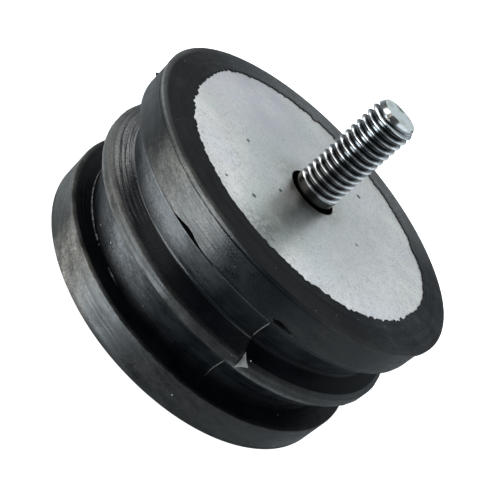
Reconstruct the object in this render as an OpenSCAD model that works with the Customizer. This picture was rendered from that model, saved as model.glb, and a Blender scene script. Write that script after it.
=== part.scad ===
// Round engine mount: a grooved rubber body with a steel plate set into each end,
// a threaded stud on top and a tapped boss in the base.
// The origin is the centre of the bottom face, and +Z runs up the stud.

/* [Rubber body] */
// Outside diameter over the flanges and the middle ridge
body_d = 100; // [90:1:140]
// Height of the rubber between its two end faces
body_h = 46.5; // [42:0.5:70]
// Height of the straight flange at each end
flange_h = 9.2; // [7:0.1:11]
// Radius on the outer edge of each end face
edge_r = 0.4; // [0.2:0.1:2]
// Width of the straight band on the middle ridge
ridge_w = 2.4; // [1:0.1:4]
// Depth of the groove under the top flange
upper_groove_depth = 5.4; // [3:0.1:9]
// Depth of the groove over the bottom flange
lower_groove_depth = 6.5; // [3:0.1:9]
// Rise of the sloping shelf on top of the middle ridge
shelf_rise = 3.5; // [1:0.1:5]
// How far each groove's long taper is hollowed below a straight line
taper_hollow = 0.6; // [0.2:0.1:1.2]

/* [End plates] */
// Thickness of each steel plate
plate_t = 3; // [2:0.1:5]
// Width of rubber round the rim of each plate
rim_w = 7; // [5:0.1:10]
// Width of the thin rubber lip that laps over each plate
lip_w = 2.2; // [1:0.1:4]
// Thickness of that lip, which is also how far each plate lies below the end face
lip_t = 0.3; // [0.2:0.1:1]

/* [Thread] */
// Major diameter of the thread on the stud and in the boss
thread_d = 12.7; // [10:0.1:16]
// Pitch of that thread
thread_pitch = 1.954; // [1.25:0.001:2]

/* [Stud] */
// Length of the stud above the top plate
stud_l = 30.8; // [20:0.1:60]
// Length of the plain neck that shows above the top plate
neck_l = 2.4; // [0.5:0.1:4]
// Step in radius from the thread down to the plain neck
neck_step = 0.3; // [0.2:0.05:0.6]
// Open gap between the neck and the hole in the top plate
neck_gap = 1.2; // [0.3:0.1:1.5]
// How much the stud's radius falls off in the lead at its tip
tip_lead_w = 1.5; // [0.5:0.1:2]
// Length of that lead
tip_lead_l = 2.6; // [0.5:0.1:4]
// Diameter of the stud's head, which bears on the underside of the top plate
head_d = 22; // [20:0.5:30]
// Thickness of that head
head_h = 5; // [3:0.5:8]

/* [Base boss] */
// Diameter of the boss inside the rubber
boss_d = 20; // [19:0.5:26]
// Width of the shoulder that seats on the inside of the base plate
shoulder_w = 2; // [0.5:0.1:2.5]
// Depth of the tapped hole, without its drill point
tapped_depth = 14; // [8:0.5:18]
// Chamfer at the mouth of the tapped hole
mouth_chamfer = 0.9; // [0.3:0.1:1.2]
// Steel left over the drill point
boss_floor = 2; // [1:0.5:4]

/* [Hidden] */
$fn = 144;

rubber_colour = "#26282b";
plate_colour = "#c9cccd";
stud_colour = "#b9bcc0";

// Radii
body_r = body_d / 2;
plate_r = body_r - rim_w;
lip_r = plate_r - lip_w;
stud_r = thread_d / 2;
neck_r = stud_r - neck_step;
plate_hole_r = neck_r + neck_gap;
head_r = head_d / 2;
boss_r = boss_d / 2;
spigot_r = boss_r - shoulder_w;
tapped_r = (thread_d - thread_pitch) / 2;

// Levels in the top end, from the face down
top_face_z = body_h - lip_t;
top_under_z = top_face_z - plate_t;
head_under_z = top_under_z - head_h;
neck_top_z = top_face_z + neck_l;
tip_z = top_face_z + stud_l;

// Levels in the bottom end, from the face up
base_face_z = lip_t;
base_inner_z = base_face_z + plate_t;
drill_point_slope = 31;
drill_point_h = tapped_r * tan(drill_point_slope);
tapped_end_z = base_face_z + tapped_depth;
boss_top_z = tapped_end_z + drill_point_h + boss_floor;

// Levels and corners of the two saw-tooth grooves, as [radius, height]
ridge_low_z = (body_h - ridge_w) / 2;
ridge_high_z = (body_h + ridge_w) / 2;
lower_groove_foot = [body_r - lower_groove_depth, flange_h];
lower_groove_mouth = [body_r, ridge_low_z];
upper_groove_foot = [body_r - upper_groove_depth, ridge_high_z + shelf_rise];
upper_groove_mouth = [body_r, body_h - flange_h];

// How many steps each rounded stretch of the section has
edge_steps = 6;
taper_steps = 10;

// Points on an arc round a centre, from one angle to another
function arc_points(centre, radius, from, to) =
    [for (i = [0:edge_steps])
        let (angle = from + (to - from) * i / edge_steps)
            centre + radius * [cos(angle), sin(angle)]];

// Points from a groove's foot to its mouth, along a taper that is hollowed at its middle
function taper_points(foot, mouth) =
    let (run = mouth - foot, inward = [-run.y, run.x] / norm(run))
        [for (i = [0:taper_steps])
            let (along = i / taper_steps)
                foot + along * run + 4 * along * (1 - along) * taper_hollow * inward];

// The rubber's outer wall, from the bottom face up to the top face
outer_wall = concat(
    arc_points([body_r - edge_r, edge_r], edge_r, -90, 0),
    [[body_r, flange_h]],
    taper_points(lower_groove_foot, lower_groove_mouth),
    [[body_r, ridge_high_z]],
    taper_points(upper_groove_foot, upper_groove_mouth),
    arc_points([body_r - edge_r, body_h - edge_r], edge_r, 0, 90)
);

// The rubber round the boss and the base plate, from the axis out to the lip
base_pocket = [
    [0, boss_top_z],
    [boss_r, boss_top_z],
    [boss_r, base_inner_z],
    [plate_r, base_inner_z],
    [plate_r, base_face_z],
    [lip_r, base_face_z],
    [lip_r, 0]
];

// The rubber round the top plate and the stud's head, from the lip in to the axis
top_pocket = [
    [lip_r, body_h],
    [lip_r, top_face_z],
    [plate_r, top_face_z],
    [plate_r, top_under_z],
    [head_r, top_under_z],
    [head_r, head_under_z],
    [0, head_under_z]
];

// Body moulded in one piece round the steel
module rubber_body() {
    color(rubber_colour)
        rotate_extrude()
            polygon(concat(base_pocket, outer_wall, top_pocket));
}

// Zinc-plated disc with a clearance hole for the stud
module top_plate() {
    color(plate_colour)
        rotate_extrude()
            translate([plate_hole_r, top_under_z])
                square([plate_r - plate_hole_r, plate_t]);
}

// Headed stud that stands up through the top plate
module stud() {
    color(stud_colour)
        rotate_extrude()
            polygon([
                [0, head_under_z],
                [head_r, head_under_z],
                [head_r, top_under_z],
                [neck_r, top_under_z],
                [neck_r, neck_top_z],
                [stud_r, neck_top_z],
                [stud_r, tip_z - tip_lead_l],
                [stud_r - tip_lead_w, tip_z],
                [0, tip_z]
            ]);
}

// Zinc-plated disc with a hole for the boss's spigot
module base_plate() {
    color(plate_colour)
        rotate_extrude()
            translate([spigot_r, base_face_z])
                square([plate_r - spigot_r, plate_t]);
}

// Turned boss with a blind tapped hole, its spigot seated in the base plate
module base_boss() {
    color(stud_colour)
        rotate_extrude()
            polygon([
                [tapped_r + mouth_chamfer, base_face_z],
                [spigot_r, base_face_z],
                [spigot_r, base_inner_z],
                [boss_r, base_inner_z],
                [boss_r, boss_top_z],
                [0, boss_top_z],
                [0, tapped_end_z + drill_point_h],
                [tapped_r, tapped_end_z],
                [tapped_r, base_face_z + mouth_chamfer]
            ]);
}

rubber_body();
top_plate();
stud();
base_plate();
base_boss();
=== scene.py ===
import math

import bmesh
import bpy
import numpy as np
from mathutils import Matrix, Vector


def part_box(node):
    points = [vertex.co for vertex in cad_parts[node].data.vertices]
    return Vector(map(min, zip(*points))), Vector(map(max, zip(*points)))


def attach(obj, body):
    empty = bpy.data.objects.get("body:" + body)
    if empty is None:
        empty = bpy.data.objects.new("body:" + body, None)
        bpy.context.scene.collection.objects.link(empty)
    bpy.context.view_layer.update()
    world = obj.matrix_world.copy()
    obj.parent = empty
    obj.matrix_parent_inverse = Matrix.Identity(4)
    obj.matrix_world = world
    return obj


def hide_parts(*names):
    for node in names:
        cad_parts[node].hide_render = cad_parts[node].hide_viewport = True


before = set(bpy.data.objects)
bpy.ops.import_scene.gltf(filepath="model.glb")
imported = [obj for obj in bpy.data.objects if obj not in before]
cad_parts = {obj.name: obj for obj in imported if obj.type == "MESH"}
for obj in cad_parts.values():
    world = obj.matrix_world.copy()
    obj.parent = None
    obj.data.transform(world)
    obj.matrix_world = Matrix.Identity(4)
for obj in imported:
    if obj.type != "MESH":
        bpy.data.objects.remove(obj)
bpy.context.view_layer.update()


# BASE PLATE
# A round steel disc, blanked from 3 mm sheet and zinc plated. It is bonded into the bottom
# of the rubber, and the hole in its middle seats the boss. The photo hides it.

def add(tree, kind, inputs=(), **options):
    """Adds a node, sets its options, and gives each input, by name or number, a value or a link."""
    node = tree.nodes.new(kind)
    for option, value in options.items():
        setattr(node, option, value)
    for name, value in dict(inputs).items():
        socket = node.inputs[name]
        if isinstance(value, bpy.types.NodeSocket):
            tree.links.new(value, socket)
        else:
            socket.default_value = value
    return node


def maths(tree, operation, *values):
    """The result of one sum on values or links."""
    return add(tree, "ShaderNodeMath", enumerate(values), operation=operation).outputs[0]


def product(tree, first, *others):
    """Values or links multiplied together."""
    for value in others:
        first = maths(tree, "MULTIPLY", first, value)
    return first


def total(tree, first, *others):
    """Values or links added together."""
    for value in others:
        first = maths(tree, "ADD", first, value)
    return first


def gap_to(tree, place, spot):
    """How far each point is from a spot."""
    ends = {0: place, 1: spot}
    return add(tree, "ShaderNodeVectorMath", ends, operation="DISTANCE").outputs["Value"]


def graded(tree, value, low, high, at_low=0.0, at_high=1.0):
    """Turns a value between low and high smoothly into one between at_low and at_high."""
    ends = {"Value": value, "From Min": low, "From Max": high, "To Min": at_low, "To Max": at_high}
    return add(tree, "ShaderNodeMapRange", ends, interpolation_type="SMOOTHSTEP").outputs[0]


def coated(tree, share, under, over):
    """One colour laid over another by a share from 0 to 1."""
    return add(tree, "ShaderNodeMix", {0: share, 6: under, 7: over}, data_type="RGBA").outputs[2]


def mottle(tree, place, size, detail=2.0):
    """A cloudy value from 0 to 1 whose patches are about the given size in metres."""
    sizes = {"Vector": place, "Scale": 1 / size, "Detail": detail}
    return add(tree, "ShaderNodeTexNoise", sizes).outputs[0]


def specks(tree, place, spacing, radius, share):
    """Round specks of a radius on cells of a spacing, in a share of the cells: 1 inside a speck."""
    cells = add(tree, "ShaderNodeTexVoronoi", {"Vector": place, "Scale": 1 / spacing})
    near = graded(tree, cells.outputs["Distance"], 0.6 * radius / spacing, radius / spacing, 1.0, 0.0)
    pick = add(tree, "ShaderNodeSeparateColor", {0: cells.outputs["Color"]}).outputs[0]
    return product(tree, near, maths(tree, "LESS_THAN", pick, share))


def finish_tree(name):
    """A new material with an empty surface shader, and where its object's own points are."""
    material = bpy.data.materials.new(name)
    material.use_nodes = True
    tree = material.node_tree
    shader = tree.nodes["Principled BSDF"]
    place = add(tree, "ShaderNodeTexCoord").outputs["Object"]
    return material, tree, shader, place


def rounds(tree, place):
    """Distance from the upright axis, angle about it, and height, of each point."""
    split = add(tree, "ShaderNodeSeparateXYZ", {0: place}).outputs
    across = total(tree, maths(tree, "POWER", split[0], 2.0), maths(tree, "POWER", split[1], 2.0))
    return maths(tree, "SQRT", across), maths(tree, "ARCTAN2", split[1], split[0]), split[2]


def satin_zinc(name, hole_r, face_z, stain_share, stains_and_painted_shade=(), pit_spots=(), pitted=()):
    """Zinc plating on blanked sheet: cloudy, grained, tinted, pitted, stained round its hole, and laid with
    given patches of stain and of painted shade and reflection.
    """
    thin_coat, thick_coat = (0.582, 0.542, 0.518, 1), (0.686, 0.638, 0.606, 1)
    violet_tint, green_tint = (0.60, 0.575, 0.60, 1), (0.53, 0.55, 0.51, 1)
    grit_grey, worn_grey = (0.20, 0.22, 0.21, 1), (0.30, 0.31, 0.30, 1)
    hole_rust, bore_shade_black = (0.21, 0.18, 0.14, 1), (0.012, 0.011, 0.010, 1)
    pit_black = (0.06, 0.06, 0.055, 1)
    rust_from, rust_to = hole_r + 0.0006, hole_r + 0.0065
    worn_from, worn_to = 0.014, 0.038
    material, tree, shader, place = finish_tree(name)
    radius, _, height = rounds(tree, place)
    elsewhere = add(tree, "ShaderNodeMapping", {0: place, 1: (0.31, 0.17, 0.0)}).outputs[0]
    clouds = mottle(tree, place, size=0.012, detail=3.0)
    tint = mottle(tree, elsewhere, size=0.022, detail=2.0)
    grain = mottle(tree, place, size=0.0004, detail=4.0)
    coarse = mottle(tree, elsewhere, size=0.0013, detail=3.0)
    pits = specks(tree, place, spacing=0.0040, radius=0.00030, share=0.10)
    ticks = specks(tree, elsewhere, spacing=0.0016, radius=0.00013, share=0.08)

    colour = coated(tree, graded(tree, clouds, 0.30, 0.70), thin_coat, thick_coat)
    colour = coated(tree, graded(tree, tint, 0.52, 0.72, 0.0, 0.7), colour, violet_tint)
    colour = coated(tree, graded(tree, tint, 0.28, 0.46, 0.7, 0.0), colour, green_tint)
    fine_grit = graded(tree, grain, 0.30, 0.62, 1.0, 0.0)
    grit = product(tree, fine_grit, graded(tree, coarse, 0.35, 0.65, 1.0, 0.35))
    colour = coated(tree, product(tree, grit, 0.52), colour, grit_grey)
    ring = graded(tree, radius, rust_from, rust_to, stain_share, 0.0)
    ring = product(tree, ring, graded(tree, coarse, 0.30, 0.62, 0.25, 1.0))
    colour = coated(tree, ring, colour, hole_rust)
    # given patches of colour: real stains, and painted shade and reflection
    for x, y, reach, share, patch_colour in stains_and_painted_shade:
        patch = graded(tree, gap_to(tree, place, (x, y, face_z)), 0.25 * reach, reach, share, 0.0)
        patch = product(tree, patch, graded(tree, coarse, 0.36, 0.62, 0.25, 1.35))
        colour = coated(tree, patch, colour, patch_colour)
    colour = coated(tree, graded(tree, radius, worn_from, worn_to, 0.48, 0.0), colour, worn_grey)
    marks = maths(tree, "MAXIMUM", pits, product(tree, ticks, 0.55))
    for x, y, pit_r in pit_spots:
        pit = graded(tree, gap_to(tree, place, (x, y, face_z)), 0.9 * pit_r, 1.7 * pit_r, 1.2, 0.0)
        marks = maths(tree, "MAXIMUM", marks, pit)
    for x, y, reach in pitted:
        pocks = specks(tree, place, spacing=0.0009, radius=0.00024, share=0.45)
        near = graded(tree, gap_to(tree, place, (x, y, face_z)), 0.3 * reach, reach, 0.6, 0.0)
        marks = maths(tree, "MAXIMUM", marks, product(tree, pocks, near))
    colour = coated(tree, product(tree, marks, 0.8), colour, pit_black)
    # the bore of the hole is coloured near-black: painted shade in the gap round the stud's neck
    off_face = maths(tree, "ABSOLUTE", maths(tree, "SUBTRACT", height, face_z))
    in_hole = graded(tree, radius, hole_r + 0.0001, hole_r + 0.0005, 1.0, 0.0)
    shaded_bore = product(tree, in_hole, maths(tree, "GREATER_THAN", off_face, 0.00012))
    colour = coated(tree, shaded_bore, colour, bore_shade_black)
    tree.links.new(colour, shader.inputs["Base Color"])

    rough = total(tree, graded(tree, clouds, 0.25, 0.75, 0.30, 0.37), product(tree, grit, 0.14))
    tree.links.new(rough, shader.inputs["Roughness"])
    shader.inputs["Metallic"].default_value = 1.0
    raised = total(tree, product(tree, grain, 0.6), coarse)
    relief = maths(tree, "SUBTRACT", raised, product(tree, marks, 2.0))
    bump = add(tree, "ShaderNodeBump", {"Strength": 0.30, "Distance": 0.00008, "Height": relief})
    tree.links.new(bump.outputs[0], shader.inputs["Normal"])
    return material


def maker_tree(name, inputs):
    """A Geometry Nodes tree with named inputs of given kinds, and what it is given."""
    tree = bpy.data.node_groups.new(name, "GeometryNodeTree")
    for label, kind in inputs:
        tree.interface.new_socket(label, in_out="INPUT", socket_type="NodeSocket" + kind)
    tree.interface.new_socket("Piece", in_out="OUTPUT", socket_type="NodeSocketGeometry")
    return tree, add(tree, "NodeGroupInput").outputs


def flat_grid(tree, rows, steps):
    """A grid that is ready to be rolled up, with each point's row and its share of a turn."""
    round_points = total(tree, steps, 1.0)
    counts = {"Vertices X": rows, "Vertices Y": round_points}
    grid = add(tree, "GeometryNodeMeshGrid", counts).outputs[0]
    number = add(tree, "GeometryNodeInputIndex").outputs[0]
    row = maths(tree, "FLOOR", maths(tree, "DIVIDE", total(tree, number, 0.5), round_points))
    step = maths(tree, "SUBTRACT", number, product(tree, row, round_points))
    return grid, row, maths(tree, "DIVIDE", step, steps)


def rolled_up(tree, grid, radius, turn, height):
    """The grid with each point at a radius, a share of a turn and a height."""
    angle = product(tree, turn, 2 * math.pi)
    across = product(tree, radius, maths(tree, "COSINE", angle))
    along = product(tree, radius, maths(tree, "SINE", angle))
    where = add(tree, "ShaderNodeCombineXYZ", {0: across, 1: along, 2: height}).outputs[0]
    return add(tree, "GeometryNodeSetPosition", {"Geometry": grid, "Position": where}).outputs[0]


def finished(tree, piece, finish):
    """Welds the seam and the poles, turns the faces outwards and ends the tree."""
    welded = add(tree, "GeometryNodeMergeByDistance", {0: piece, "Distance": 1e-6}).outputs[0]
    outward = add(tree, "GeometryNodeFlipFaces", {0: welded}).outputs[0]
    real = add(tree, "GeometryNodeRealizeInstances", {0: outward}).outputs[0]
    done = add(tree, "GeometryNodeSetMaterial", {"Geometry": real, "Material": finish}).outputs[0]
    add(tree, "NodeGroupOutput", {0: done})
    return tree


def turning_tree():
    """Geometry Nodes that turn an outline, a row of points at y = 0, about the upright axis."""
    inputs = (("Outline", "Geometry"), ("Steps round", "Int"), ("Finish", "Material"))
    tree, given = maker_tree("turned piece", inputs)
    size = add(tree, "GeometryNodeAttributeDomainSize", {0: given["Outline"]})
    grid, row, turn = flat_grid(tree, size.outputs["Point Count"], given["Steps round"])
    drawn = add(tree, "GeometryNodeSampleIndex", {0: given["Outline"]}, data_type="FLOAT_VECTOR")
    tree.links.new(add(tree, "GeometryNodeInputPosition").outputs[0], drawn.inputs["Value"])
    tree.links.new(row, drawn.inputs["Index"])
    point = add(tree, "ShaderNodeSeparateXYZ", {0: drawn.outputs[0]}).outputs
    placed = rolled_up(tree, grid, point[0], turn, point[2])
    store = {"Geometry": placed, "Name": "row"}
    named = add(tree, "GeometryNodeStoreNamedAttribute", store, data_type="INT")
    tree.links.new(row, named.inputs["Value"])
    return finished(tree, named.outputs[0], given["Finish"])


def made(name, tree, outline, settings):
    """Runs a tree on an outline of (radius, height) points, and gives the plain mesh that it makes."""
    drawing = bpy.data.meshes.new(name + "_outline")
    drawing.from_pydata([(r, 0.0, z) for r, z in outline], [], [])
    piece = bpy.data.objects.new(name + "_maker", drawing)
    bpy.context.scene.collection.objects.link(piece)
    maker = piece.modifiers.new("maker", "NODES")
    maker.node_group = tree
    for item in tree.interface.items_tree:
        if item.in_out == "INPUT" and item.name in settings:
            maker[item.identifier] = settings[item.name]
    view = bpy.context.evaluated_depsgraph_get()
    mesh = bpy.data.meshes.new_from_object(
        piece.evaluated_get(view), preserve_all_data_layers=True, depsgraph=view)
    bpy.data.objects.remove(piece)
    bpy.data.meshes.remove(drawing)
    return mesh


def piece_of(name, meshes, crease=32.0):
    """One object from meshes whose rings meet, welded, facing outwards and shaded with crisp edges."""
    shell = bmesh.new()
    for mesh in meshes:
        shell.from_mesh(mesh)
    if len(meshes) > 1:
        bmesh.ops.remove_doubles(shell, verts=shell.verts, dist=2e-6)
        bmesh.ops.recalc_face_normals(shell, faces=shell.faces)
    whole = meshes[0].copy()
    whole.name = name
    shell.to_mesh(whole)
    shell.free()
    whole.shade_smooth()
    whole.set_sharp_from_angle(angle=math.radians(crease))
    piece = bpy.data.objects.new(name, whole)
    bpy.context.scene.collection.objects.link(piece)
    return piece


def rounded(corners, steps=4):
    """An outline through corners of (radius, height, rounding), each corner rounded off."""
    outline = []
    for i, (r, z, rounding) in enumerate(corners):
        here = np.array((r, z))
        if not rounding or i in (0, len(corners) - 1):
            outline.append((r, z))
            continue
        before = np.array(corners[i - 1][:2]) - here
        after = np.array(corners[i + 1][:2]) - here
        start = here + rounding * before / np.linalg.norm(before)
        end = here + rounding * after / np.linalg.norm(after)
        for k in range(steps + 1):
            t = k / steps
            outline.append(tuple((1 - t) ** 2 * start + 2 * t * (1 - t) * here + t * t * end))
    return outline


turned_piece = turning_tree()
body_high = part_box("rubber_body")[1]
plate_low, plate_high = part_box("base_plate")
body_r = round(body_high.x, 4)
body_h = round(body_high.z, 4)
plate_r = round(plate_high.x, 4)
base_face_z = round(plate_low.z, 4)
base_inner_z = round(plate_high.z, 4)
spigot_r = 0.0080
face_margin = 0.004
blank_edge = 0.0003
plate_steps = 256
base_zinc = satin_zinc("base plate zinc", spigot_r, base_face_z, 0.4)
base_ring = rounded([
    (spigot_r, base_inner_z, 0),
    (spigot_r, base_face_z, 0),
    (plate_r - face_margin, base_face_z, 0),
    (plate_r, base_face_z, blank_edge),
    (plate_r, base_inner_z, blank_edge),
    (spigot_r, base_inner_z, 0),
])
base_plate = piece_of("base_plate_zinc", [
    made("base_plate", turned_piece, base_ring, {"Steps round": plate_steps, "Finish": base_zinc})])
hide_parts("base_plate")
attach(base_plate, "root")


# TAPPED BOSS
# A turned steel boss with a blind half-inch thread, zinc plated. Its spigot is pressed into the
# base plate and its shoulder seats behind it. The photo hides it.

def bright_zinc(name, root_r, crest_r, tip_z, dark_below_z, marks=()):
    """Bright zinc on a rolled thread: darker below a height, painted shade in the roots, marked on its end.
    """
    thin_coat, thick_coat = (0.56, 0.58, 0.60, 1), (0.80, 0.81, 0.82, 1)
    end_tint, grain_grey = (0.58, 0.63, 0.57, 1), (0.40, 0.40, 0.39, 1)
    root_shade, neck_dark = (0.055, 0.058, 0.060, 1), (0.028, 0.027, 0.025, 1)
    scuff_brown, mark_brown = (0.22, 0.18, 0.13, 1), (0.045, 0.036, 0.028, 1)
    tooth_h = crest_r - root_r
    lead_from, lead_to = tip_z - 0.0018, tip_z - 0.0011
    material, tree, shader, place = finish_tree(name)
    radius, _, height = rounds(tree, place)
    clouds = mottle(tree, place, size=0.003, detail=3.0)
    grain = mottle(tree, place, size=0.0004, detail=3.0)

    colour = coated(tree, graded(tree, clouds, 0.30, 0.70), thin_coat, thick_coat)
    # the roots of the thread are darkened: painted shade between the crests
    deep = graded(tree, radius, root_r + 0.35 * tooth_h, root_r + 0.95 * tooth_h, 0.95, 0.0)
    on_thread = graded(tree, radius, crest_r, crest_r + 0.0004, 1.0, 0.0)
    below_lead = graded(tree, height, lead_from, lead_to, 1.0, 0.0)
    colour = coated(tree, product(tree, on_thread, below_lead, deep), colour, root_shade)
    tip = graded(tree, height, tip_z - 0.0004, tip_z - 0.0001, 0.0, 1.0)
    scuff = product(tree, tip, graded(tree, clouds, 0.50, 0.64))
    colour = coated(tree, product(tree, tip, 0.5), colour, end_tint)
    colour = coated(tree, product(tree, scuff, 0.45), colour, scuff_brown)
    colour = coated(tree, graded(tree, grain, 0.52, 0.80, 0.0, 0.45), colour, grain_grey)
    for spot, reach, share in marks:
        patch = graded(tree, gap_to(tree, place, spot), 0.4 * reach, reach, share, 0.0)
        patch = product(tree, patch, graded(tree, grain, 0.3, 0.6, 0.5, 1.0))
        colour = coated(tree, patch, colour, mark_brown)
    # nearly black below the given height, the top of the stud's neck
    darkened_low = graded(tree, height, dark_below_z, dark_below_z + 0.0002, 0.94, 0.0)
    colour = coated(tree, darkened_low, colour, neck_dark)
    tree.links.new(colour, shader.inputs["Base Color"])

    rough = total(tree, graded(tree, clouds, 0.25, 0.75, 0.13, 0.20), product(tree, grain, 0.08))
    tree.links.new(rough, shader.inputs["Roughness"])
    shader.inputs["Metallic"].default_value = 1.0
    bump = add(tree, "ShaderNodeBump", {"Strength": 0.18, "Distance": 0.00006, "Height": grain})
    tree.links.new(bump.outputs[0], shader.inputs["Normal"])
    return material


def threading_tree():
    """Geometry Nodes that cut a right-hand thread: a grid sheared along the helix, so rows follow it."""
    lengths = ("Pitch", "Row height", "Foot", "Tip", "Low radius", "High radius",
               "Foot radius", "Tip radius", "Foot run-out", "Tip run-out")
    inputs = [("Outline", "Geometry"), ("Steps round", "Int"), ("Rows", "Int")]
    inputs += [(label, "Float") for label in lengths] + [("Finish", "Material")]
    tree, given = maker_tree("screw thread", inputs)
    grid, row, turn = flat_grid(tree, given["Rows"], given["Steps round"])
    risen = product(tree, given["Pitch"], maths(tree, "SUBTRACT", turn, 1.0))
    free = total(tree, risen, product(tree, row, given["Row height"]), given["Foot"])
    z = maths(tree, "MINIMUM", maths(tree, "MAXIMUM", free, given["Foot"]), given["Tip"])
    over_foot = maths(tree, "SUBTRACT", z, given["Foot"])
    under_tip = maths(tree, "SUBTRACT", given["Tip"], z)
    turns_up = maths(tree, "DIVIDE", over_foot, given["Pitch"])
    phase = maths(tree, "FRACT", maths(tree, "SUBTRACT", turns_up, turn))
    swing = maths(tree, "SUBTRACT", product(tree, phase, 2.0), 1.0)
    tooth = maths(tree, "SUBTRACT", 1.0, maths(tree, "ABSOLUTE", swing))
    root_flat, crest_flat = 0.25, 0.89
    ends = {"Value": tooth, "From Min": root_flat, "From Max": crest_flat}
    ends.update({"To Min": given["Low radius"], "To Max": given["High radius"]})
    flank = add(tree, "ShaderNodeMapRange", ends).outputs[0]
    foot_run = product(tree, over_foot, given["Foot run-out"])
    tip_run = product(tree, under_tip, given["Tip run-out"])
    least = maths(tree, "MAXIMUM", maths(tree, "SUBTRACT", given["Foot radius"], foot_run),
                  maths(tree, "SUBTRACT", given["Tip radius"], tip_run))
    most = maths(tree, "MINIMUM", total(tree, given["Foot radius"], foot_run),
                 total(tree, given["Tip radius"], tip_run))
    radius = maths(tree, "MINIMUM", maths(tree, "MAXIMUM", flank, least), most)
    placed = rolled_up(tree, grid, radius, turn, z)
    return finished(tree, placed, given["Finish"])


screw_thread = threading_tree()
pitch = 0.001954
rows_a_turn = 16
thread_steps = 96


def thread(name, foot, tip, low, high, foot_r, tip_r, tip_slope, finish):
    """A thread between two heights, which runs out to a given radius at each end."""
    row_height = pitch / rows_a_turn
    rows = math.ceil((tip - foot + pitch) / row_height) + 1
    return made(name, screw_thread, [(low, foot)], {
        "Steps round": thread_steps, "Rows": rows, "Pitch": pitch, "Row height": row_height,
        "Foot": foot, "Tip": tip, "Low radius": low, "High radius": high,
        "Foot radius": foot_r, "Tip radius": tip_r, "Foot run-out": 1.0, "Tip run-out": tip_slope,
        "Finish": finish})


boss_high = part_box("base_boss")[1]
boss_r = round(boss_high.x, 4)
boss_top_z = boss_high.z
tap_r = 0.005373
tap_root_r = 0.00635
mouth_chamfer = 0.0009
tapped_depth = 0.014
boss_floor = 0.002
shoulder_edge, boss_edge = 0.0002, 0.0006
mouth_r = tap_r + mouth_chamfer
tapped_end_z = base_face_z + tapped_depth
drill_point = [(0.0, boss_top_z - boss_floor), (tap_r, tapped_end_z)]
boss_zinc = bright_zinc("boss zinc", tap_r, tap_root_r, body_h, -body_h)
boss_turning = {"Steps round": thread_steps, "Finish": boss_zinc}
boss_outside = rounded([
    (mouth_r, base_face_z, 0),
    (spigot_r, base_face_z, 0),
    (spigot_r, base_inner_z, 0),
    (boss_r, base_inner_z, shoulder_edge),
    (boss_r, boss_top_z, boss_edge),
    (0.0, boss_top_z, 0),
])
tapped_boss = piece_of("tapped_boss", [
    made("boss_outside", turned_piece, boss_outside, boss_turning),
    made("boss_drill_point", turned_piece, drill_point, boss_turning),
    thread("boss_thread", base_face_z, tapped_end_z, tap_r, tap_root_r, mouth_r, tap_r, 1.0, boss_zinc)])
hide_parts("base_boss")
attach(tapped_boss, "root")


# TOP PLATE
# The same kind of steel disc in the top end, zinc plated and left bare inside the rubber lip.
# Its hole is cut with a little room round the stud's neck, and its edge is rolled by the punch.

top_low, top_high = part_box("top_plate")
top_under_z = round(top_low.z, 4)
top_face_z = round(top_high.z, 4)
neck_r = 0.00620
hole_r = 0.00725
punch_roll = 0.0005
green, brown = (0.36, 0.41, 0.34, 1), (0.26, 0.22, 0.17, 1)
shade, violet = (0.20, 0.23, 0.21, 1), (0.47, 0.46, 0.51, 1)
top_zinc = satin_zinc(
    "top plate zinc", hole_r, top_face_z, 0.8,
    # the green patch in front of the stud and the dark patch at the front edge are a painted dark
    # reflection of the stud; the two brown patches by the hole are stain with painted reflection of the
    # stud
    stains_and_painted_shade=[
        (0.000, -0.024, 0.017, 0.42, green),
        (-0.002, -0.038, 0.010, 0.55, shade),
        (0.016, -0.026, 0.012, 0.16, green),
        (-0.009, -0.003, 0.009, 0.45, brown),
        (0.004, -0.011, 0.007, 0.40, brown),
        (-0.030, 0.014, 0.028, 0.55, violet)],
    pit_spots=[
        (-0.0206, -0.0095, 0.00042), (-0.0085, -0.0287, 0.00050), (-0.0055, -0.0152, 0.00042),
        (0.0178, -0.0016, 0.00034), (0.0095, 0.0236, 0.00060), (-0.0161, -0.0325, 0.00030)],
    pitted=[(-0.002, -0.024, 0.020)])
top_ring = rounded([
    (hole_r, top_under_z, 0),
    (plate_r, top_under_z, blank_edge),
    (plate_r, top_face_z, blank_edge),
    (hole_r + face_margin, top_face_z, 0),
    (hole_r, top_face_z, punch_roll),
    (hole_r, top_under_z, 0),
])
top_plate = piece_of("top_plate_zinc", [
    made("top_plate", turned_piece, top_ring, {"Steps round": plate_steps, "Finish": top_zinc})])
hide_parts("top_plate")
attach(top_plate, "root")


# STUD
# A half-inch steel stud with a rolled thread, bright zinc plated. Its head is held by the rubber
# under the top plate, a short plain neck passes the hole, and the tip is chamfered.

stud_low, stud_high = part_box("stud")
head_r = round(stud_high.x, 4)
head_under_z = round(stud_low.z, 4)
tip_z = round(stud_high.z, 4)
neck_l = 0.0024
neck_top_z = top_face_z + neck_l
head_edge, seat_edge = 0.0006, 0.0003
thread_root_r = 0.00522
thread_crest_r = 0.00630
tip_r = 0.00510
end_land = 0.0004
tip_slope = 0.50
end_marks = [
    ((-0.0010, 0.0040, tip_z), 0.0017, 1.0),
    ((-0.0021, 0.0040, tip_z), 0.0010, 0.7),
    ((-0.0012, -0.0053, tip_z - 0.0009), 0.0016, 1.0),
    ((0.0004, -0.0052, tip_z - 0.0004), 0.0013, 0.8)]
stud_zinc = bright_zinc("stud zinc", thread_root_r, thread_crest_r, tip_z, neck_top_z, end_marks)
stud_turning = {"Steps round": thread_steps, "Finish": stud_zinc}
stud_foot = rounded([
    (0.0, head_under_z, 0),
    (head_r, head_under_z, head_edge),
    (head_r, top_under_z, seat_edge),
    (neck_r, top_under_z, 0),
    (neck_r, neck_top_z, 0),
])
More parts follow.
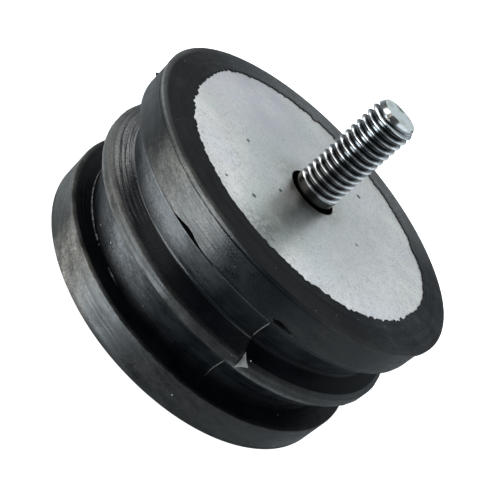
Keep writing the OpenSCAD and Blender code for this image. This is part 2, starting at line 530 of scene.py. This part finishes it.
stud_end = [(tip_r, tip_z), (tip_r - end_land, tip_z), (0.0, tip_z)]
stud = piece_of("threaded_stud", [
    made("stud_foot", turned_piece, stud_foot, stud_turning),
    thread("stud_thread", neck_top_z, tip_z, thread_root_r, thread_crest_r,
           neck_r, tip_r, tip_slope, stud_zinc),
    made("stud_end", turned_piece, stud_end, stud_turning)])
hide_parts("stud")
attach(stud, "root")


# RUBBER BODY
# Black natural rubber, moulded round the steel in a split ring mould between two end plates.
# The mould leaves turning marks, a parting line, thin flash, and a torn lip over each plate.

def swell(angle, waves, seed):
    """A gentle unevenness round the body, from -1 to 1, with up to the given number of waves."""
    draw = np.random.default_rng(seed)
    total = np.zeros_like(angle)
    for k in range(1, waves + 1):
        total += draw.normal() * np.cos(np.radians(k * angle) + draw.uniform(0, 2 * math.pi))
    return total / (1.5 * math.sqrt(waves))


def torn(angle, tooth, seed):
    """Uneven teeth round a torn edge: a random step for each tooth, in degrees, with short slopes."""
    count = int(360 / tooth)
    steps = np.random.default_rng(seed).normal(0, 1, count)
    place = (angle % 360) / 360 * count
    first = np.floor(place).astype(int)
    slope = np.clip((place - first - 0.55) / 0.45, 0, 1)
    return steps[first % count] * (1 - slope) + steps[(first + 1) % count] * slope


def arc_away(angle, middle):
    """How far an angle is from another, the short way, in degrees."""
    return np.abs((angle - middle + 180) % 360 - 180)


def between(angle, start, end, soft):
    """1 where an angle lies between two others, fading to 0 over a soft margin in degrees."""
    half_way = (end - start) / 2
    return np.clip((half_way + soft - arc_away(angle, (start + end) / 2)) / soft, 0, 1)


def hump(value, middle, width):
    """A bell that is 1 at the middle and falls off over a width."""
    return np.exp(-((value - middle) / width) ** 2)


def spread(angle, start, full_from, full_to, end):
    """A film on part of the round: it sets in at start, is full between two angles, and ends."""
    rise = np.clip((angle - start) / (full_from - start), 0, 1)
    fall = np.clip((end - angle) / (end - full_to), 0, 1)
    share = rise * fall
    return share * share * (3 - 2 * share)


flange_h = 0.0092
edge_r = 0.0004
ridge_w = 0.0024
upper_depth = 0.0054
lower_depth = 0.0065
shelf_rise = 0.0035
taper_hollow = 0.0006
lip_w = 0.0022
lip_r = plate_r - lip_w
ridge_low_z = (body_h - ridge_w) / 2
ridge_high_z = (body_h + ridge_w) / 2
lower_foot = (body_r - lower_depth, flange_h)
lower_mouth = (body_r, ridge_low_z)
upper_foot = (body_r - upper_depth, ridge_high_z + shelf_rise)
corner_z = body_h - flange_h
upper_mouth = (body_r, corner_z)


def taper(foot, mouth, steps):
    """Points from a groove's foot to its mouth, hollowed at the middle."""
    foot, run = np.array(foot), np.array(mouth) - np.array(foot)
    inward = np.array((-run[1], run[0])) / np.linalg.norm(run)
    points = []
    for k in range(1, steps):
        t = k / steps
        points.append((*(foot + t * run + 4 * t * (1 - t) * taper_hollow * inward), 0))
    return points


def stepped(outline, longest):
    """The same outline with long straight stretches cut into shorter ones."""
    fine = [outline[0]]
    for a, b in zip(outline, outline[1:]):
        parts = max(1, math.ceil(math.dist(a, b) / longest))
        fine += [tuple(np.array(a) + (np.array(b) - np.array(a)) * k / parts) for k in range(1, parts + 1)]
    return fine


bead_w, bead_rise = 0.00022, 0.00002
foot_band, foot_round = 0.0008, 0.00015
flange_edge_r, ridge_low_round, ridge_high_round = 0.00025, 0.0002, 0.0003
worn_corner = ((0.00034, -0.00040), (0.00016, -0.00014), (0.00010, 0.0), (0.00005, 0.00014))
side_inset, side_step = 0.00030, 0.0003
side_r = body_r - side_inset
rim_h, rim_groove, rim_round, rim_edge_r = 0.0013, 0.0003, 0.0002, 0.00022
rim_step_z = body_h - rim_h
lip_line_w, lip_line_h, lip_round = 0.0003, 0.00008, 0.0001
lip_line_r = plate_r + lip_line_w
pocket = [(0.0, boss_top_z), (boss_r, boss_top_z), (boss_r, base_inner_z), (plate_r, base_inner_z)]
cavity = [(plate_r, top_under_z), (head_r, top_under_z), (head_r, head_under_z), (0.0, head_under_z)]
outer = rounded([
    (plate_r, base_inner_z, 0),
    (plate_r, base_face_z, 0),
    (lip_r, base_face_z, 0),
    (lip_r, 0.0, 0),
    (lip_line_r, 0.0, 0),
    (body_r, 0.0, edge_r),
    (body_r, flange_h, flange_edge_r),
    (lower_foot[0] + 4 * bead_w, flange_h, 0),
    (lower_foot[0] + 3 * bead_w, flange_h, 0),
    (lower_foot[0] + 2 * bead_w, flange_h + bead_rise, 0),
    (lower_foot[0] + bead_w, flange_h, 0),
    (*lower_foot, foot_round),
    *taper(lower_foot, lower_mouth, 12),
    (*lower_mouth, ridge_low_round),
    (body_r, ridge_high_z, ridge_high_round),
    (upper_foot[0], upper_foot[1] - foot_band / 2, ridge_high_round),
    (upper_foot[0], upper_foot[1] + foot_band / 2, ridge_low_round),
    *taper(upper_foot, upper_mouth, 10)[1:],
    *[(side_r - inset, corner_z + rise, 0) for inset, rise in worn_corner],
    *[(side_r, corner_z + side_step * k, 0) for k in range(2, 9)],
    (side_r, rim_step_z - rim_groove, lip_round),
    (side_r - rim_groove, rim_step_z - lip_round, 0),
    (side_r - rim_groove, rim_step_z, 0),
    (body_r, rim_step_z + rim_round, rim_round),
    (body_r, body_h, rim_edge_r),
    (lip_line_r + lip_line_w, body_h, 0),
    (lip_line_r, body_h + lip_line_h, 0),
    (lip_line_r - lip_line_w, body_h, 0),
    (lip_r, body_h, lip_round),
    (lip_r, top_face_z, 0),
    (plate_r, top_face_z, 0),
    (plate_r, top_under_z, 0),
])
longest_step = 0.0016
section = pocket + stepped(outer, longest_step)[1:] + cavity[1:]
body_steps = 720
rubber_mesh = made("rubber_body", turned_piece, section, {"Steps round": body_steps})
places = np.empty(len(rubber_mesh.vertices) * 3)
rubber_mesh.vertices.foreach_get("co", places)
places = places.reshape(-1, 3)
row = np.empty(len(rubber_mesh.vertices), int)
rubber_mesh.attributes["row"].data.foreach_get("value", row)
drawn_r = np.array([p[0] for p in section])[row]
drawn_z = np.array([p[1] for p in section])[row]
angle = np.degrees(np.arctan2(places[:, 1], places[:, 0])) % 360
r, z = drawn_r.copy(), drawn_z.copy()
outside = drawn_r > lip_r - 1e-6

# the torn lip over each plate, with the depth, width in degrees and seed of its teeth and the
# stretches that are torn worse; the top lip was moulded off centre
lip_teeth = ((0.00012, 3.1, 3), (0.00021, 1.2, 5), (0.00012, 0.8, 6))
worse_torn = ((0.75, 285, 345, 12), (0.6, 194, 235, 10), (1.3, 70, 160, 14))
torn_edge = sum(deep * torn(angle, tooth, seed) for deep, tooth, seed in lip_teeth)
torn_more = sum((more * between(angle, *stretch) for more, *stretch in worse_torn), 0.55)
near_shift, far_shift, least_shift, most_shift = -0.0005, 0.0021, -0.0014, 0.00205
far_half = spread((angle + 40) % 360, 25, 65, 195, 228)
far_bulge = 0.0004 * hump(arc_away(angle, 130), 0, 28)
far_notch = 0.0008 * hump(arc_away(angle, 41), 0, 3.5)
off_centre = near_shift + far_shift * far_half + far_bulge - far_notch
top_shift = np.clip(torn_edge * torn_more + off_centre, least_shift, most_shift)
base_shift = 0.6 * np.roll(torn_edge, 7)
lip_share = np.clip(1 - (drawn_r - lip_r) / (plate_r + 0.0001 - lip_r), 0, 1)
on_lip = outside & (drawn_r < plate_r + 0.0002)
top_lip = on_lip & (drawn_z > top_face_z - 1e-6)
base_lip = on_lip & (drawn_z < base_face_z + 1e-6)
r = r + np.where(top_lip, top_shift * lip_share, 0) + np.where(base_lip, base_shift * lip_share, 0)

# slight unevenness of the wall, the rim set off by the end plate of the mould, and the two
# halves of the ring mould that don't quite meet
mid_height = (drawn_z > 0.5 * flange_h) & (drawn_z < body_h - 0.5 * flange_h)
grooved = (drawn_r > lower_foot[0] - 0.0002) & mid_height
wall = outside & (grooved | (drawn_r > lip_line_r + 0.0008))
r = r + np.where(wall, 0.00006 * swell(angle, 9, 11), 0)
z = z + np.where(wall & (drawn_z > 0.5 * body_h), 0.00005 * swell(angle, 7, 12), 0)
lean_to, rim_grow, rim_lean, flange_lean = 335, 0.00008, 0.00017, 0.00020
set_off = np.cos(np.radians(angle - lean_to))
rim = wall & (drawn_z > rim_step_z + 0.0001) & (drawn_r > body_r - 0.0012)
top_flange = wall & (drawn_z > corner_z - 0.0003) & (drawn_z < rim_step_z + 0.0001)
r = r + np.where(rim, rim_grow + rim_lean * set_off, 0) - np.where(top_flange, flange_lean * set_off, 0)
step_fill = 0.00028
at_step = np.abs(drawn_z - rim_step_z + 0.00005) < 0.00008
step_foot = wall & at_step & (drawn_r < side_r - 0.0002)
r = r + np.where(step_foot, step_fill * between(angle, 150, 252, 14), 0)
parting, mismatch = 291.0, 0.00020
groove_zone = wall & (drawn_z > flange_h + 0.0002) & (drawn_z < corner_z - 0.0003)
half = between(angle, parting - 180, parting, 0.4)
r = r - np.where(groove_zone, mismatch * half, 0)
edge_w, edge_reach = 0.0003, 0.0006
flange_edge = np.where(wall, hump(drawn_z, flange_h, edge_w) * (drawn_r > body_r - edge_reach), 0)
z = z + flange_edge * 0.00004 * torn(angle, 0.8, 41) * (0.4 + 1.6 * between(angle, 240, 296, 8))
ridge_edges = hump(drawn_z, ridge_low_z, edge_w) + hump(drawn_z, ridge_high_z, edge_w)
ridge_edge = np.where(wall, hump(drawn_r, body_r, edge_reach) * ridge_edges, 0)
r = r + ridge_edge * 0.00005 * torn(angle, 1.9, 42)

# the lower corner of the top flange: a crack, a tear beside the parting, and a nib
crack_depth, crack_lift, flap_h = 0.0026, 0.0010, 0.0024
slit = np.where(wall, (np.abs(drawn_z - corner_z) < 0.00005) * (drawn_r > body_r - 0.001), 0)
flap = np.clip(1 - (drawn_z - corner_z) / flap_h, 0, 1)
lifted = np.where(top_flange & (drawn_z > corner_z + 0.00005), flap, 0)
crack = between(angle, 255.5, 257.5, 5.5) * (0.95 + 0.25 * swell(angle, 60, 21))
tail = 0.10 * between(angle, 260, 266, 3) * (0.9 + 0.5 * swell(angle, 80, 22))
open_by = np.maximum(crack, tail)
r = r - slit * crack_depth * np.clip(1.6 * open_by, 0, 1)
z = z + lifted * crack_lift * open_by
tear_fade = 0.0010
tear_rise = np.interp(angle, [287.0, 290.0, 298.0], [0.0005, 0.0009, 0.0005])
tear_z = corner_z + tear_rise + 0.00005 * torn(angle, 0.9, 44)
tear_in = np.interp(angle, [287.0, 288.4, 290.4, 292.2, 299.0], [0.0, 0.0010, 0.0016, 0.0008, 0.0])
above_tear = np.clip(1 - (drawn_z - tear_z) / tear_fade, 0, 1)
r = r - tear_in * np.where(top_flange & (drawn_z > tear_z), above_tear, 0)
nib_at, nib_w, nib_out, nib_h = 187, 0.7, 0.0010, 0.0006
nib = hump(arc_away(angle, nib_at), 0, nib_w)
r = r + np.where(top_flange, hump(drawn_z, corner_z + nib_h, nib_h), 0) * nib_out * nib

# flash: a bead at the foot of the lower groove, and a corner torn off the ridge at the parting
bead_h = 0.00045
bead_crown = hump(drawn_r, lower_foot[0] + 2 * bead_w, 0.5 * bead_w)
bead = np.where(wall, bead_crown * hump(drawn_z, flange_h, 0.0002), 0)
dashes = torn(angle, 2.3, 31) + 0.8 * torn(angle, 0.7, 34) > 0.0
beaded = np.clip(between(angle, 196, 224, 10) + 0.8 * between(angle, 224, 246, 6) * dashes, 0, 1)
z = z + bead * bead_h * beaded
facet_end, facet_run, facet_depth = 294.4, 3.4, 0.0028
torn_off = np.clip((facet_end - angle) / facet_run, 0, 1) * (angle >= parting)
facet_low, facet_high = ridge_high_z - 0.0022 * torn_off, ridge_high_z + 0.0018 * torn_off
along = (drawn_z - facet_low) / np.maximum(facet_high - facet_low, 1e-9)
on_facet = groove_zone & (torn_off > 0) & (along >= 0) & (along <= 1) & (drawn_r > body_r - 0.0031)
r = np.where(on_facet, np.minimum(r, body_r - facet_depth * torn_off * along), r)

places[:, 0] = r * np.cos(np.radians(angle))
places[:, 1] = r * np.sin(np.radians(angle))
places[:, 2] = z


def flash_fin(path, half_width, height, root):
    """A thin closed fin along a path of (angle, radius, height), standing off the taper that carries it."""
    points, faces = [], []
    lean_out, lean_down = 0.86, 0.51
    for k, (about, fin_r, fin_z) in enumerate(path):
        turn = math.radians(about)
        along_round = np.array((-math.sin(turn), math.cos(turn), 0.0))
        out = np.array((lean_out * math.cos(turn), lean_out * math.sin(turn), -lean_down))
        foot = np.array((fin_r * math.cos(turn), fin_r * math.sin(turn), fin_z))
        grown = math.sin(math.pi * min(1.0, max(0.0, (k + 0.6) / len(path)))) ** 0.5
        sunk, aside = foot - root * out, half_width * along_round
        points += [sunk - aside, sunk + aside, foot + height * grown * out]
        if k:
            a, b = 3 * k - 3, 3 * k
            faces += [(a + 2, b + 2, b, a), (a + 1, b + 1, b + 2, a + 2), (a, b, b + 1, a + 1)]
    faces += [(1, 2, 0), (3 * len(path) - 1, 3 * len(path) - 2, 3 * len(path) - 3)]
    return points, faces


def fin_path(foot, mouth, low, high, low_angle, high_angle, count=14):
    """Places on a taper between two heights, while the angle goes from one to another."""
    path = []
    for k in range(count):
        fin_z = low + (high - low) * k / (count - 1)
        t = (fin_z - foot[1]) / (mouth[1] - foot[1])
        fin_r = foot[0] + t * (mouth[0] - foot[0]) - 4 * t * (1 - t) * taper_hollow
        path.append((low_angle + (high_angle - low_angle) * k / (count - 1), fin_r, fin_z))
    return path


upper_flash = fin_path(upper_foot, upper_mouth, 0.0288, 0.0371, 290.2, 288.0)
lower_flash = fin_path(lower_foot, lower_mouth, 0.0150, 0.0218, 289.6, 288.0)
foot_flash = fin_path(lower_foot, lower_mouth, 0.0100, 0.0150, 291.2, 289.6)
fins = [
    flash_fin(upper_flash, half_width=0.00008, height=0.00032, root=0.0004),
    flash_fin(lower_flash, half_width=0.00006, height=0.00020, root=0.0004),
    flash_fin(foot_flash, half_width=0.00007, height=0.00010, root=0.0003),
]
body_faces = [tuple(face.vertices) for face in rubber_mesh.polygons]
body_points = [tuple(p) for p in places]
torn_corners = [
    (parting + 0.1, body_r, ridge_low_z),
    (parting + 2.9, body_r, ridge_high_z - 0.0002),
    (parting + 0.1, body_r - 0.0024, ridge_high_z + 0.00145)]
lift, depth, bow = 0.00012, 0.0012, 0.20
torn_points = []
for about, at_r, at_z in torn_corners:
    turn, out_r = math.radians(about), at_r + lift
    torn_points.append(np.array((out_r * math.cos(turn), out_r * math.sin(turn), at_z + 0.5 * lift)))
centre = sum(torn_points) / 3
torn_points = [p for k in range(3) for p in
               (torn_points[k], (1 - bow) * (torn_points[k] + torn_points[(k + 1) % 3]) / 2 + bow * centre)]
torn_points += [centre, centre * (1 - depth / body_r)]
torn_faces = [face for k in range(6) for face in ((k, (k + 1) % 6, 6), ((k + 1) % 6, k, 7))]
fins.append((torn_points, torn_faces))
# the torn corner and the flash fins are lighter: torn rubber with painted highlight
torn_rub_and_highlight, flash_rub_and_highlight = 0.42, 0.09
fin_rub_and_highlight = []
for points, faces in fins:
    first = len(body_points)
    body_points += [tuple(p) for p in points]
    body_faces += [tuple(first + k for k in face) for face in faces]
    fin_rub_and_highlight += [torn_rub_and_highlight if points is torn_points else flash_rub_and_highlight] * len(points)
whole_mesh = bpy.data.meshes.new("rubber_whole")
whole_mesh.from_pydata(body_points, [], body_faces)

# how much pale dust, cool bloom and rubbing, with painted sheen, shade and highlights laid in them,
# each place of the surface carries; each spread gives the angles where a film sets in, is full from and to,
# and ends
side = wall & (np.abs(drawn_r - body_r) < edge_reach)
top_side = side & (drawn_z > corner_z)
base_side = side & (drawn_z < flange_h + 1e-5)
band = side & (drawn_z > ridge_low_z - edge_w) & (drawn_z < ridge_high_z + edge_w)
on_upper = drawn_z > upper_foot[1]
on_lower = (drawn_z > flange_h + 0.0004) & (drawn_z < ridge_low_z)
tapers = groove_zone & ~band & (on_upper | on_lower)
shelf = groove_zone & ~band & ~tapers
ring = outside & (drawn_z > body_h - 0.0001)
low_shelf = wall & (np.abs(drawn_z - flange_h) < edge_w) & (drawn_r < body_r - 0.0002)

# dust on the left is real; the peaks round 240 to 255 degrees on the top side, base side and ridge band are
# a painted highlight, and the near-bare front of the top side is painted shade
left_side = spread(angle, 170, 185, 225, 250)
top_front_shade = spread(angle, 260, 270, 284, 300)
top_sheen = spread(angle, 226, 247, 258, 266)
dust_and_sheen = np.zeros(len(row))
dust_and_sheen[top_side] = (0.03 - 0.029 * top_front_shade + 0.25 * top_sheen)[top_side]
dust_and_sheen[base_side] = (0.04 + 0.05 * left_side + 0.28 * spread(angle, 222, 236, 246, 258))[base_side]
dust_and_sheen[band] = (0.05 + 0.08 * left_side + 0.06 * spread(angle, 226, 236, 248, 258))[band]

# the bloom on the tapers is a painted highlight peaking round 251 degrees, darkened towards each groove's
# foot as painted shade, with some real bloom
sheen_angles = [190, 222, 235, 243, 251, 259, 267, 275]
upper_sheen = np.interp(angle, sheen_angles, [0.08, 0.08, 0.52, 0.82, 1.0, 0.28, 0.15, 0.0])
lower_sheen = np.interp(angle, sheen_angles, [0.05, 0.06, 0.24, 0.70, 0.40, 0.14, 0.03, 0.0])
up_upper = np.clip((drawn_z - upper_foot[1]) / (upper_mouth[1] - upper_foot[1]), 0, 1)
up_lower = np.clip((drawn_z - lower_foot[1]) / (lower_mouth[1] - lower_foot[1]), 0, 1)
upper_sheen = upper_sheen * (0.22 + 0.88 * np.clip(up_upper / 0.55, 0, 1))
lower_sheen = lower_sheen * (0.05 + 1.15 * np.clip(up_lower / 0.7, 0, 1))
bloom_and_sheen = np.zeros(len(row))
bloom_and_sheen[tapers] = np.where(on_upper, upper_sheen, lower_sheen)[tapers]
# the bloom on the left of the shelf is a painted sheen, and on the far side of the ring a painted
# reflection
bloom_and_sheen[shelf] = (0.24 * spread(angle, 180, 200, 216, 232))[shelf]
bloom_and_sheen[ring] = (0.55 * spread(angle, 25, 70, 110, 170))[ring]

# light lines along the rim edge, upper corner, ridge edges, upper groove foot, flange edge and lower bead,
# laid only where light falls: painted highlights with some rubbing
rim_line = np.where(rim, hump(drawn_z, body_h - 0.00012, 0.0002), 0) * spread(angle, 165, 188, 212, 242)
corner_line = slit * between(angle, 268, 287, 3)
band_line = np.where(band, hump(drawn_z, ridge_low_z, edge_w), 0) * between(angle, 291, 318, 4)
at_foot = hump(drawn_r, upper_foot[0], 0.0002) * hump(drawn_z, upper_foot[1] - foot_band / 2, 0.0004)
foot_line = np.where(wall, at_foot, 0) * spread(angle, 165, 180, 206, 232)
ridge_line = np.where(band, ridge_edges, 0) * spread(angle, 180, 196, 246, 268)
flange_line = flange_edge * spread(angle, 178, 190, 240, 290) * (0.6 + 0.4 * swell(angle, 50, 51))
bead_line = bead * beaded * (0.75 + 0.35 * torn(angle, 0.8, 35))
rub_and_highlight = 0.75 * bead_line + 0.40 * rim_line + 0.17 * corner_line + 0.22 * band_line
rub_and_highlight = np.clip(rub_and_highlight + 0.55 * foot_line + 0.20 * ridge_line + 0.24 * flange_line, 0, 1)

turned = np.where(wall & ~top_side & ~base_side, 0.25, 0.12)
turned[ring] = 0.22
turned[shelf] = (0.05 + 0.95 * spread(angle, 160, 178, 230, 246))[shelf]

skin_zone = (drawn_r > body_r - 0.0075) & (drawn_z > 0.0009) & (drawn_z < body_h - 0.0004)
matt = np.where(wall & skin_zone, 0.0, 1.0)
matt[shelf] = (-0.5 + 0.2 * spread(angle, 172, 186, 222, 240))[shelf]
matt[top_side] = -0.25 * spread(angle, 258, 268, 284, 294)[top_side]
matt[ring] = (1.0 + 0.45 * spread(angle, 170, 195, 300, 325))[ring]

films = {"dust_and_sheen": dust_and_sheen, "bloom_and_sheen": bloom_and_sheen, "rub_and_highlight": rub_and_highlight, "turned": turned, "matt": matt}
fin_films = {"dust_and_sheen": 0.1, "bloom_and_sheen": 0.1, "rub_and_highlight": fin_rub_and_highlight, "turned": 0.0, "matt": 0.5}
for name, values in films.items():
    on_fins = np.zeros(len(fin_rub_and_highlight)) + fin_films[name]
    layer = whole_mesh.attributes.new(name, "FLOAT", "POINT")
    layer.data.foreach_set("value", np.concatenate((values, on_fins)).astype(np.float32))


def moulded_rubber(name, gloss):
    """Black rubber with mould turning marks, grey dust and cool bloom that also carry painted sheen and
    shade, rubbed lines with painted highlights, and white specks.
    """
    deep_black, soft_black = (0.0013, 0.0020, 0.0030, 1), (0.0040, 0.0052, 0.0066, 1)
    bloom_and_sheen_grey, dust_and_sheen_grey = (0.192, 0.194, 0.197, 1), (0.308, 0.282, 0.242, 1)
    rubbed_and_highlight_grey, speck_white = (0.42, 0.42, 0.41, 1), (0.55, 0.55, 0.52, 1)
    hole_black = (0.004, 0.005, 0.006, 1)
    mark_drift, smear_rise, smear_run = 0.0005, 0.012, 0.011
    material, tree, shader, place = finish_tree(name)
    radius, about, height = rounds(tree, place)
    ring_ends = {0: radius, 1: product(tree, about, mark_drift), 2: height}
    ring_place = add(tree, "ShaderNodeCombineXYZ", ring_ends).outputs[0]
    marks = mottle(tree, ring_place, size=0.0011, detail=4.0)
    off_line = maths(tree, "ABSOLUTE", maths(tree, "SUBTRACT", marks, 0.5))
    lines = graded(tree, off_line, 0.0, 0.030, 1.0, 0.0)
    clouds = mottle(tree, place, size=0.010, detail=4.0)
    patches = mottle(tree, place, size=0.0028, detail=3.0)
    grain = mottle(tree, place, size=0.0008, detail=3.0)
    fine = mottle(tree, place, size=0.00030, detail=2.0)
    pin_holes = specks(tree, place, spacing=0.0017, radius=0.00016, share=0.25)
    flecks = specks(tree, place, spacing=0.0060, radius=0.00026, share=0.32)
    crumbs = specks(tree, place, spacing=0.0022, radius=0.00014, share=0.26)
    film = {}
    for layer in films:
        film[layer] = add(tree, "ShaderNodeAttribute", attribute_name=layer).outputs["Fac"]

    uneven = product(
        tree,
        graded(tree, clouds, 0.25, 0.75, 0.82, 1.18),
        graded(tree, patches, 0.25, 0.75, 0.78, 1.22),
        graded(tree, grain, 0.25, 0.75, 0.66, 1.34),
        graded(tree, fine, 0.30, 0.70, 0.62, 1.38))
    pale_marks = graded(tree, marks, 0.3, 0.7, 0.55, 1.35)
    lined = add(tree, "ShaderNodeMix", {0: film["turned"], 2: 1.0, 3: pale_marks}).outputs[0]
    dark_lines = product(tree, lines, film["turned"])
    lined = product(tree, lined, graded(tree, dark_lines, 0.0, 1.0, 1.0, 0.35))
    broken = product(tree, uneven, lined)
    slant = total(tree, height, product(tree, about, smear_rise))
    smear_ends = {0: product(tree, about, smear_run), 1: 0.3, 2: slant}
    smear_place = add(tree, "ShaderNodeCombineXYZ", smear_ends).outputs[0]
    smeared = mottle(tree, smear_place, size=0.0016, detail=4.0)
    smears = graded(tree, smeared, 0.32, 0.68, 0.62, 1.42)
    # the rubbed, bloom and dust films below lay painted highlights, sheen and shade along with real
    # rubbing, bloom and dust
    rubbed_and_lit = product(tree, film["rub_and_highlight"], graded(tree, grain, 0.25, 0.7, 0.6, 1.0))
    white = maths(tree, "MAXIMUM", product(tree, flecks, 0.80), product(tree, crumbs, 0.45))
    colour = coated(tree, graded(tree, clouds, 0.3, 0.7), deep_black, soft_black)
    colour = coated(tree, product(tree, film["bloom_and_sheen"], broken), colour, bloom_and_sheen_grey)
    colour = coated(tree, product(tree, film["dust_and_sheen"], smears, broken), colour, dust_and_sheen_grey)
    colour = coated(tree, rubbed_and_lit, colour, rubbed_and_highlight_grey)
    colour = coated(tree, product(tree, pin_holes, 0.7), colour, hole_black)
    colour = coated(tree, white, colour, speck_white)
    tree.links.new(colour, shader.inputs["Base Color"])

    rough = total(
        tree,
        graded(tree, clouds, 0.25, 0.75, 0.29, 0.47),
        product(tree, film["matt"], 0.40),
        graded(tree, fine, 0.30, 0.70, -0.08, 0.08),
        graded(tree, patches, 0.30, 0.70, -0.05, 0.05),
        product(tree, dark_lines, 0.45))
    tree.links.new(rough, shader.inputs["Roughness"])
    shader.inputs["Specular IOR Level"].default_value = gloss
    turning = maths(tree, "SUBTRACT", product(tree, marks, 1.6), product(tree, lines, 1.2))
    rough_skin = product(tree, total(tree, grain, fine), 1.6)
    relief = total(
        tree,
        product(tree, grain, 0.08),
        product(tree, fine, 0.22),
        product(tree, turning, film["turned"]),
        product(tree, film["bloom_and_sheen"], rough_skin),
        maths(tree, "SUBTRACT", flecks, pin_holes))
    bump = add(tree, "ShaderNodeBump", {"Strength": 0.7, "Distance": 0.00016, "Height": relief})
    tree.links.new(bump.outputs[0], shader.inputs["Normal"])
    return material


# three copies of the rubber that differ only in specular level: the low one on the shelf from the parting
# round the back, and at the lower groove's foot, is painted shade; the high one on the rest of the shelf is
# a painted sheen
whole_mesh.materials.append(moulded_rubber("moulded rubber", gloss=0.36))
whole_mesh.materials.append(moulded_rubber("rubber in painted shade in the grooves", gloss=0.05))
whole_mesh.materials.append(moulded_rubber("rubber with painted sheen on the ridge", gloss=0.58))
painted_shade_skin = low_shelf | (shelf & (arc_away(angle, parting + 90) < 90.1))
skin = np.where(painted_shade_skin, 1, np.where(shelf, 2, 0))
skin = np.concatenate((skin, np.zeros(len(fin_rub_and_highlight), int)))
skins = []
for face in body_faces:
    kinds = {int(skin[k]) for k in face}
    skins.append(kinds.pop() if len(kinds) == 1 else 0)
whole_mesh.polygons.foreach_set("material_index", skins)
rubber_body = piece_of("moulded_rubber", [whole_mesh], crease=38.0)
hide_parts("rubber_body")
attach(rubber_body, "root")


# STUDIO
# A plain white table, soft boxes to the left and behind, pale walls, and a camera rolled so
# that the mount leans as it does in the photo. The table keeps out of the mount's reflections.

floor_half, floor_z = 6.0, -0.0002
floor_corners = [(x * floor_half, y * floor_half, floor_z) for x, y in ((-1, -1), (1, -1), (1, 1), (-1, 1))]
floor_mesh = bpy.data.meshes.new("floor")
floor_mesh.from_pydata(floor_corners, [], [(0, 1, 2, 3)])
floor = bpy.data.objects.new("floor", floor_mesh)
bpy.context.scene.collection.objects.link(floor)
table_top, table_tree, table_shader, table_place = finish_tree("white table")
table_grain = mottle(table_tree, table_place, 0.05)
table_colour = coated(table_tree, table_grain, (0.90, 0.90, 0.90, 1), (0.93, 0.93, 0.93, 1))
table_tree.links.new(table_colour, table_shader.inputs["Base Color"])
table_shader.inputs["Roughness"].default_value = 0.9
table_shader.inputs["Specular IOR Level"].default_value = 0.1
table_shader.inputs["Emission Color"].default_value = (1.0, 1.0, 1.0, 1)
table_shader.inputs["Emission Strength"].default_value = 0.9
floor_mesh.materials.append(table_top)
floor.visible_glossy = False
floor.visible_diffuse = False
floor.visible_shadow = False


def soft_box(name, place, aim, size, power):
    """A square soft box at a place, turned to shine at a point."""
    lamp = bpy.data.lights.new(name, "AREA")
    lamp.shape = "SQUARE"
    lamp.size = size
    lamp.energy = power
    stand = bpy.data.objects.new(name, lamp)
    back = (Vector(place) - Vector(aim)).normalized()
    stand.matrix_world = Matrix.Translation(place) @ back.to_track_quat("Z", "Y").to_matrix().to_4x4()
    bpy.context.scene.collection.objects.link(stand)


middle = (0.0, 0.0, 0.5 * body_h)
soft_box("left box", (-0.58, -0.42, 0.24), middle, size=0.75, power=4.0)
soft_box("window box", (-0.706, 0.65, 0.745), middle, size=0.66, power=4.5)

world = bpy.data.worlds.new("studio")
bpy.context.scene.world = world
world.use_nodes = True
sky = world.node_tree

# pale walls of the studio: which way each lies, the cosines where it is full and gone, its strength
toward = add(sky, "ShaderNodeTexCoord").outputs["Generated"]
level = 0.04
for way, near, far, strength in (
        ((0.10, 0.687, 0.72), 1.0, 0.66, 1.27),
        ((0.10, -0.88, -0.46), 0.97, 0.93, 0.08),
        ((0.92, 0.35, 0.17), 0.97, 0.88, 0.7),
        ((0.0, -0.887, 0.462), 0.97, 0.70, 0.20),
        ((0.80, -0.40, 0.45), 0.97, 0.75, 1.1),
        ((-0.50, -0.73, -0.462), 0.978, 0.913, 11.0),
        ((-0.85, 0.10, -0.46), 0.97, 0.80, 0.31),
        ((-0.52, 0.72, -0.46), 0.97, 0.70, 0.5),
        ((0.75, 0.42, -0.50), 0.97, 0.55, 0.33),
        ((0.75, -0.47, -0.46), 0.97, 0.80, 0.36)):
    ways = {0: toward, 1: way}
    facing = add(sky, "ShaderNodeVectorMath", ways, operation="DOT_PRODUCT").outputs["Value"]
    level = total(sky, level, graded(sky, facing, far, near, 0.0, strength))
seen = add(sky, "ShaderNodeLightPath").outputs["Is Camera Ray"]
level = maths(sky, "MAXIMUM", level, seen)
sky.links.new(level, sky.nodes["Background"].inputs["Strength"])
sky.nodes["Background"].inputs["Color"].default_value = (0.845, 0.95, 1.015, 1)

scene = bpy.context.scene
scene.view_settings.view_transform = "Standard"
aim = (0.00039, 0.0, 0.0209)
distance = 0.2460
elevation = math.radians(27.53)
roll = math.radians(48.49)
frame_px = 500
focal_px = 893.7
sensor = 36.0
lens = bpy.data.cameras.new("camera")
lens.sensor_fit = "HORIZONTAL"
lens.sensor_width = sensor
lens.lens = focal_px / frame_px * sensor
lens.clip_start = 0.01
lens.clip_end = 50.0
back = np.array((0.0, -math.cos(elevation), math.sin(elevation)))
level_right = np.array((1.0, 0.0, 0.0))
level_up = np.array((0.0, math.sin(elevation), math.cos(elevation)))
right = math.cos(roll) * level_right + math.sin(roll) * level_up
up = -math.sin(roll) * level_right + math.cos(roll) * level_up
camera = bpy.data.objects.new("camera", lens)
stance = Matrix.Identity(4)
for k in range(3):
    stance[k][0], stance[k][1], stance[k][2] = right[k], up[k], back[k]
    stance[k][3] = aim[k] + distance * back[k]
camera.matrix_world = stance
scene.collection.objects.link(camera)
scene.camera = camera
